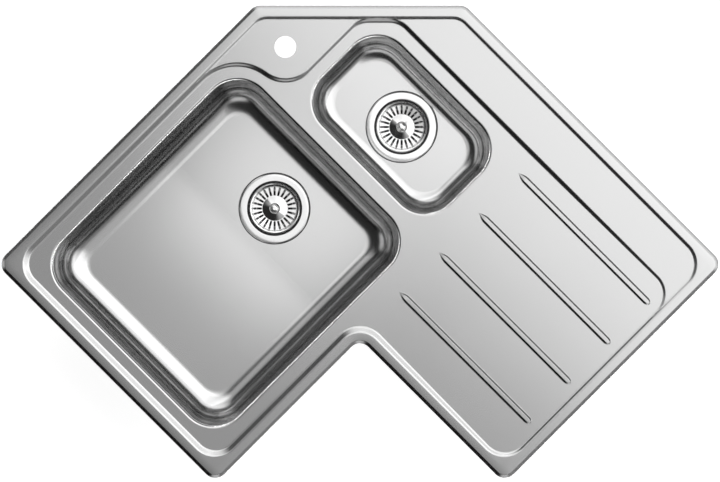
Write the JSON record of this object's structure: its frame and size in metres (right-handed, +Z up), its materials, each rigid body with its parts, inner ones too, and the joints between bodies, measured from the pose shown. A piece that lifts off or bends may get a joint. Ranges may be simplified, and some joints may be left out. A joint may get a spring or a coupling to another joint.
{
  "type": "corner kitchen sink",
  "caption": "Inset corner kitchen sink in stainless steel with a main bowl, a half bowl, a ribbed drainer, basket wastes and swivel mounting clips.",
  "frame": {"origin": "on the worktop, under the middle of the rim seal at the chamfered back edge", "axes": "+X along the right wall, away from the corner; +Y square to it, towards the right wall; +Z up"},
  "size_m": [0.83, 0.83, 0.2535],
  "materials": {
    "deck_steel": "fine linen-polished stainless steel",
    "bowl_steel": "silk-brushed stainless steel",
    "waste_steel": "polished stainless steel",
    "basket_steel": "polished stainless steel",
    "screw_steel": "bright zinc plate",
    "clip_steel": "zinc-plated spring steel",
    "seal_foam": "closed-cell foam strip",
    "sound_pad": "matt bitumen damping pad",
    "gasket_rubber": "moulded rubber",
    "plug_rubber": "moulded rubber",
    "waste_plastic": "moulded polypropylene"
  },
  "bodies": {
    "root": {"deck": "deck_steel", "rim_seal": "seal_foam", "main_bowl": "bowl_steel", "main_sound_pad": "sound_pad", "main_flange_gasket": "gasket_rubber", "main_waste_cup": "waste_steel", "main_body_gasket": "gasket_rubber", "main_waste_body": "waste_plastic", "main_clamp_screw": "screw_steel", "half_bowl": "bowl_steel", "half_sound_pad": "sound_pad", "half_flange_gasket": "gasket_rubber", "half_waste_cup": "waste_steel", "half_body_gasket": "gasket_rubber", "half_waste_body": "waste_plastic", "half_clamp_screw": "screw_steel", "clip_1_bracket": "clip_steel", "clip_2_bracket": "clip_steel", "clip_3_bracket": "clip_steel", "clip_4_bracket": "clip_steel", "clip_5_bracket": "clip_steel", "clip_6_bracket": "clip_steel", "clip_7_bracket": "clip_steel", "clip_8_bracket": "clip_steel"},
    "main_basket": {"main_basket": "basket_steel"},
    "main_plug": {"main_plug_knob": "basket_steel", "main_plug_seal": "plug_rubber"},
    "half_basket": {"half_basket": "basket_steel"},
    "half_plug": {"half_plug_knob": "basket_steel", "half_plug_seal": "plug_rubber"},
    "clip_1_screw": {"clip_1_screw": "screw_steel"},
    "clip_1_claw": {"clip_1_claw": "clip_steel"},
    "clip_2_screw": {"clip_2_screw": "screw_steel"},
    "clip_2_claw": {"clip_2_claw": "clip_steel"},
    "clip_3_screw": {"clip_3_screw": "screw_steel"},
    "clip_3_claw": {"clip_3_claw": "clip_steel"},
    "clip_4_screw": {"clip_4_screw": "screw_steel"},
    "clip_4_claw": {"clip_4_claw": "clip_steel"},
    "clip_5_screw": {"clip_5_screw": "screw_steel"},
    "clip_5_claw": {"clip_5_claw": "clip_steel"},
    "clip_6_screw": {"clip_6_screw": "screw_steel"},
    "clip_6_claw": {"clip_6_claw": "clip_steel"},
    "clip_7_screw": {"clip_7_screw": "screw_steel"},
    "clip_7_claw": {"clip_7_claw": "clip_steel"},
    "clip_8_screw": {"clip_8_screw": "screw_steel"},
    "clip_8_claw": {"clip_8_claw": "clip_steel"}
  },
  "joints": [
    {"name": "main_basket_lift", "type": "slide", "parent": "root", "child": "main_basket", "axis": [0, 0, 1], "range_m": [0, 0.24]},
    {"name": "main_plug_pull", "type": "slide", "parent": "main_basket", "child": "main_plug", "axis": [0, 0, 1], "range_m": [0, 0.008]},
    {"name": "half_basket_lift", "type": "slide", "parent": "root", "child": "half_basket", "axis": [0, 0, 1], "range_m": [0, 0.2]},
    {"name": "half_plug_pull", "type": "slide", "parent": "half_basket", "child": "half_plug", "axis": [0, 0, 1], "range_m": [0, 0.008]},
    {"name": "clip_1_swing", "type": "hinge", "parent": "root", "child": "clip_1_screw", "pos_m": [-0.09678, -0.30222, -0.04], "axis": [0, 0, -1], "range_deg": [0, 90]},
    {"name": "clip_1_draw", "type": "slide", "parent": "clip_1_screw", "child": "clip_1_claw", "axis": [0, 0, 1], "range_m": [0, 0.015]},
    {"name": "clip_2_swing", "type": "hinge", "parent": "root", "child": "clip_2_screw", "pos_m": [-0.09678, -0.57222, -0.04], "axis": [0, 0, -1], "range_deg": [0, 90]},
    {"name": "clip_2_draw", "type": "slide", "parent": "clip_2_screw", "child": "clip_2_claw", "axis": [0, 0, 1], "range_m": [0, 0.015]},
    {"name": "clip_3_swing", "type": "hinge", "parent": "root", "child": "clip_3_screw", "pos_m": [0.20222, 0.09678, -0.04], "axis": [0, 0, -1], "range_deg": [0, 90]},
    {"name": "clip_3_draw", "type": "slide", "parent": "clip_3_screw", "child": "clip_3_claw", "axis": [0, 0, 1], "range_m": [0, 0.015]},
    {"name": "clip_4_swing", "type": "hinge", "parent": "root", "child": "clip_4_screw", "pos_m": [0.55222, 0.09678, -0.04], "axis": [0, 0, -1], "range_deg": [0, 90]},
    {"name": "clip_4_draw", "type": "slide", "parent": "clip_4_screw", "child": "clip_4_claw", "axis": [0, 0, 1], "range_m": [0, 0.015]},
    {"name": "clip_5_swing", "type": "hinge", "parent": "root", "child": "clip_5_screw", "pos_m": [0.67122, -0.12222, -0.04], "axis": [0, 0, -1], "range_deg": [0, 90]},
    {"name": "clip_5_draw", "type": "slide", "parent": "clip_5_screw", "child": "clip_5_claw", "axis": [0, 0, 1], "range_m": [0, 0.015]},
    {"name": "clip_6_swing", "type": "hinge", "parent": "root", "child": "clip_6_screw", "pos_m": [0.55222, -0.34122, -0.04], "axis": [0, 0, -1], "range_deg": [0, 90]},
    {"name": "clip_6_draw", "type": "slide", "parent": "clip_6_screw", "child": "clip_6_claw", "axis": [0, 0, 1], "range_m": [0, 0.015]},
    {"name": "clip_7_swing", "type": "hinge", "parent": "root", "child": "clip_7_screw", "pos_m": [0.34122, -0.51222, -0.04], "axis": [0, 0, -1], "range_deg": [0, 90]},
    {"name": "clip_7_draw", "type": "slide", "parent": "clip_7_screw", "child": "clip_7_claw", "axis": [0, 0, 1], "range_m": [0, 0.015]},
    {"name": "clip_8_swing", "type": "hinge", "parent": "root", "child": "clip_8_screw", "pos_m": [0.12222, -0.67122, -0.04], "axis": [0, 0, -1], "range_deg": [0, 90]},
    {"name": "clip_8_draw", "type": "slide", "parent": "clip_8_screw", "child": "clip_8_claw", "axis": [0, 0, 1], "range_m": [0, 0.015]}
  ]
}
